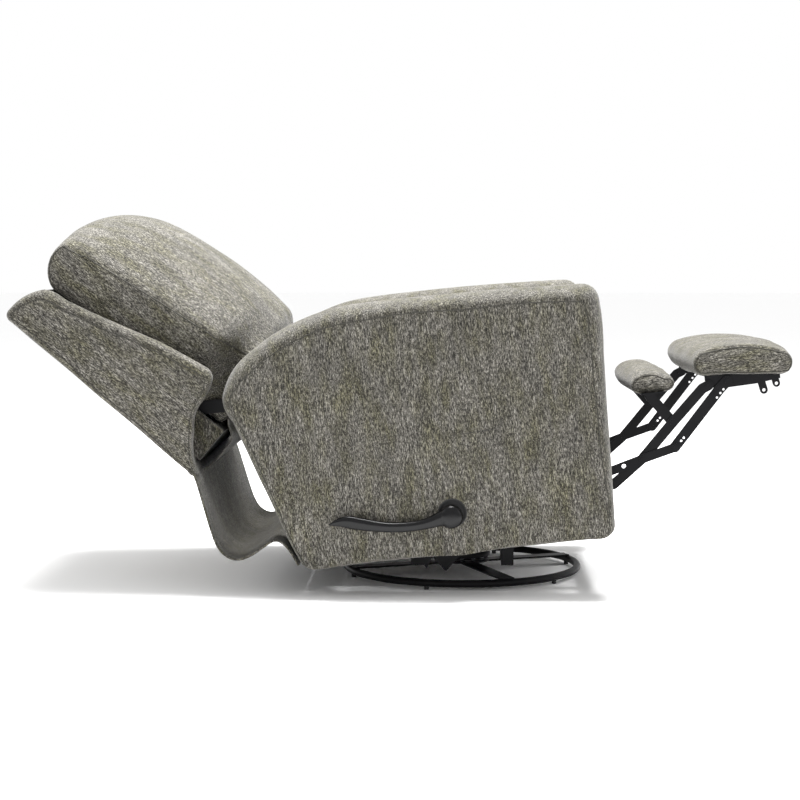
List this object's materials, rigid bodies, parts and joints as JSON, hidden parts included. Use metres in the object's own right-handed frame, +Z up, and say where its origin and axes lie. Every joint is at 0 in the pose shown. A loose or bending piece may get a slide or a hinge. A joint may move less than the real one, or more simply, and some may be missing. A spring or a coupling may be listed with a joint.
{
  "type": "swivel glider recliner",
  "caption": "Upholstered recliner on a ring base that swivels and glides, leaned back with its scissor leg rest out.",
  "frame": {"origin": "on the floor, under the middle of the whole object's box in its leaned back rest pose", "axes": "+X to the front of the chair (the leg rest end), +Y to the occupant's left, +Z up"},
  "size_m": [1.6283, 0.79, 0.7853],
  "materials": {
    "black_steel": "satin powder coat",
    "bright_steel": "satin",
    "cover_fabric": "heathered chenille weave",
    "black_plastic": "gloss",
    "foot_plastic": "matte",
    "frame_wood": "plain"
  },
  "bodies": {
    "base": {"base_ring": "black_steel", "base_feet": "foot_plastic", "base_cross_brace": "black_steel", "lower_swivel_plate": "black_steel", "king_pin": "bright_steel", "swivel_balls": "bright_steel", "ball_cage": "foot_plastic"},
    "swivel_frame": {"upper_swivel_plate": "black_steel", "swivel_bars": "black_steel", "swivel_cross_rails": "black_steel", "swing_posts": "black_steel", "swing_studs": "black_steel"},
    "front_swing": {"front_swing_links": "black_steel"},
    "rear_swing": {"rear_swing_links": "black_steel"},
    "chair": {"chair_base_rails": "black_steel", "chair_cross_rails": "black_steel", "glide_stop_plates": "black_steel", "lower_swing_studs": "black_steel", "mechanism_side_plates": "black_steel", "side_plate_studs": "black_steel", "mounting_blocks": "frame_wood", "seat_side_rails": "frame_wood", "seat_cross_rails": "frame_wood", "seat_brackets": "black_steel", "seat_springs": "bright_steel", "seat_cushion": "cover_fabric", "arm_left": "cover_fabric", "arm_right": "cover_fabric", "arm_boards": "frame_wood", "rear_flap": "cover_fabric", "flap_batten": "frame_wood", "handle_escutcheon": "black_plastic"},
    "back": {"back_brackets": "black_steel", "back_side_rails": "frame_wood", "back_cross_rails": "frame_wood", "back_springs": "bright_steel", "back_shell": "cover_fabric", "back_pillow": "cover_fabric"},
    "front_ground": {"front_ground_links": "black_steel", "front_ground_pins": "black_steel"},
    "rear_ground": {"rear_ground_links": "black_steel", "rear_ground_pins": "black_steel"},
    "crossing": {"crossing_links": "black_steel", "crossing_link_rivets": "black_steel"},
    "long": {"long_links": "black_steel", "long_link_rivets": "black_steel"},
    "outer": {"outer_links": "black_steel", "outer_link_rivets": "black_steel"},
    "leg_rest": {"ottoman_brackets": "black_steel", "ottoman_board": "frame_wood", "ottoman_cushion": "cover_fabric"},
    "flipper": {"flipper_links": "black_steel", "flipper_board": "frame_wood", "flipper_cushion": "cover_fabric"},
    "handle": {"torque_tube": "black_steel", "crank_arms": "black_steel", "handle_lever": "black_plastic"},
    "drive": {"drive_links": "black_steel"}
  },
  "joints": [
    {"name": "swivel", "type": "hinge", "parent": "base", "child": "swivel_frame", "pos_m": [0.1198, 0.015, 0.04], "axis": [0, 0, 1], "continuous": true},
    {"name": "glide", "type": "hinge", "parent": "swivel_frame", "child": "front_swing", "pos_m": [0.2248, 0.015, 0.17], "axis": [0, -1, 0], "range_deg": [0, 23.5]},
    {"name": "glide_chair", "type": "hinge", "parent": "front_swing", "child": "chair", "pos_m": [0.16927, 0.015, 0.08717], "axis": [0, -1, 0], "range_deg": [-32.87, 0]},
    {"name": "glide_rear_link", "type": "hinge", "parent": "swivel_frame", "child": "rear_swing", "pos_m": [0.0148, 0.015, 0.17], "axis": [0, -1, 0], "range_deg": [0, 21.35]},
    {"name": "recline", "type": "hinge", "parent": "chair", "child": "back", "pos_m": [-0.14288, 0.015, 0.27384], "axis": [0, 1, 0], "range_deg": [0, 35], "deforming": ["rear_flap"]},
    {"name": "footrest", "type": "hinge", "parent": "chair", "child": "front_ground", "pos_m": [0.30323, 0.015, 0.37218], "axis": [0, 1, 0], "range_deg": [0, 113.5]},
    {"name": "footrest_rear_link", "type": "hinge", "parent": "chair", "child": "rear_ground", "pos_m": [0.27475, 0.015, 0.34353], "axis": [0, 1, 0], "range_deg": [0, 109.04]},
    {"name": "footrest_crossing_link", "type": "hinge", "parent": "front_ground", "child": "crossing", "pos_m": [0.42218, 0.015, 0.24837], "axis": [0, 1, 0], "range_deg": [-53.13, 0]},
    {"name": "footrest_long_link", "type": "hinge", "parent": "crossing", "child": "long", "pos_m": [0.49368, 0.015, 0.27651], "axis": [0, 1, 0], "range_deg": [-43.71, 0]},
    {"name": "footrest_outer_link", "type": "hinge", "parent": "crossing", "child": "outer", "pos_m": [0.56068, 0.015, 0.30093], "axis": [0, 1, 0], "range_deg": [-49.22, 0]},
    {"name": "footrest_board_turn", "type": "hinge", "parent": "long", "child": "leg_rest", "pos_m": [0.62854, 0.015, 0.4298], "axis": [0, 1, 0], "range_deg": [0, 69.26]},
    {"name": "flipper_turn", "type": "hinge", "parent": "long", "child": "flipper", "pos_m": [0.55594, 0.015, 0.35303], "axis": [0, 1, 0], "range_deg": [-92.1, 0]},
    {"name": "handle_turn", "type": "hinge", "parent": "chair", "child": "handle", "pos_m": [0.09829, 0.015, 0.17813], "axis": [0, 1, 0], "range_deg": [0, 109.04]},
    {"name": "drive_link_turn", "type": "hinge", "parent": "handle", "child": "drive", "pos_m": [0.13828, 0.015, 0.1791], "axis": [0, 1, 0], "range_deg": [-109.04, 0]}
  ],
  "couplings": [
    {"joint": "glide_chair", "follows": "glide", "ratio": -1.395},
    {"joint": "glide_rear_link", "follows": "glide", "ratio": 0.906},
    {"joint": "footrest_rear_link", "follows": "footrest", "ratio": 0.95859},
    {"joint": "footrest_crossing_link", "follows": "footrest", "ratio": -0.46696},
    {"joint": "footrest_long_link", "follows": "footrest", "ratio": -0.38414},
    {"joint": "footrest_outer_link", "follows": "footrest", "ratio": -0.4326},
    {"joint": "footrest_board_turn", "follows": "footrest", "ratio": 0.60881},
    {"joint": "flipper_turn", "follows": "footrest", "ratio": -0.80969},
    {"joint": "handle_turn", "follows": "footrest", "ratio": 0.95859},
    {"joint": "drive_link_turn", "follows": "footrest", "ratio": -0.95859}
  ]
}
